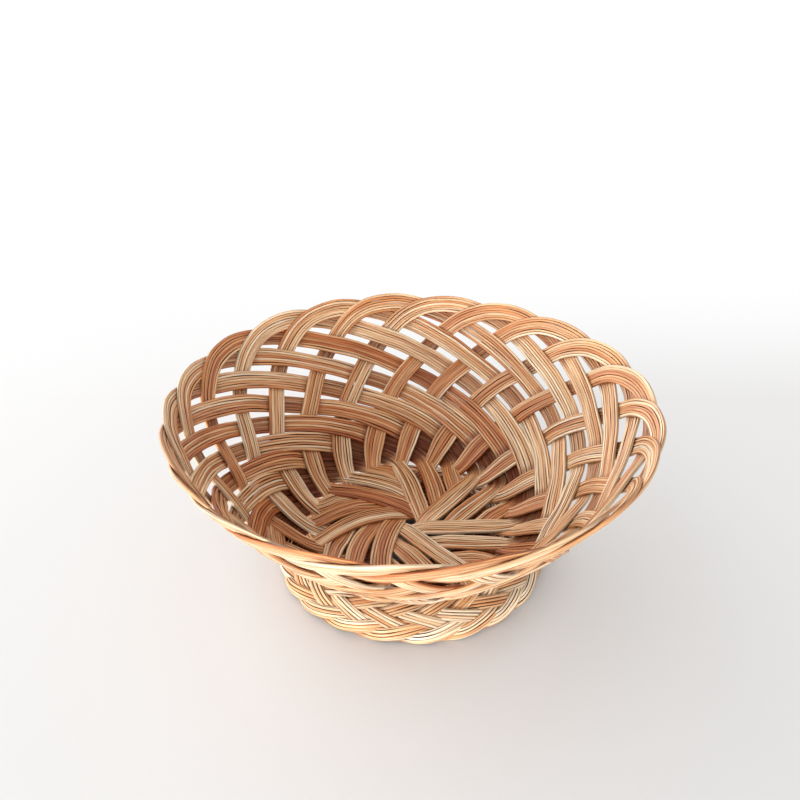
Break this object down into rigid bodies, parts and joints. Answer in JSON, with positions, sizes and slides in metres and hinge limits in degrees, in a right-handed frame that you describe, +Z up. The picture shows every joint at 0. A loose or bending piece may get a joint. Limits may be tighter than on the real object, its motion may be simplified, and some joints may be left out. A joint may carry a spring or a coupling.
{
  "type": "round open wicker basket",
  "caption": "Small round open basket of flat cane bundles in a twill weave, with a scalloped rim, a swirled floor and a flared woven foot; holds bread or fruit on a table.",
  "frame": {"origin": "on the table under the middle of the floor", "axes": "+Z up along the basket's axis, +Y away from the viewer of the picture, +X to that viewer's right"},
  "size_m": [0.229, 0.2288, 0.0896],
  "materials": {
    "cane": "satin"
  },
  "bodies": {
    "root": {"ribbon_01": "cane", "ribbon_02": "cane", "ribbon_03": "cane", "ribbon_04": "cane", "ribbon_05": "cane", "ribbon_06": "cane", "ribbon_07": "cane", "ribbon_08": "cane", "ribbon_09": "cane", "ribbon_10": "cane", "ribbon_11": "cane", "ribbon_12": "cane", "ribbon_13": "cane", "ribbon_14": "cane", "ribbon_15": "cane", "ribbon_16": "cane", "ribbon_17": "cane", "ribbon_18": "cane", "ribbon_19": "cane", "ribbon_20": "cane", "ribbon_21": "cane"}
  },
  "joints": []
}
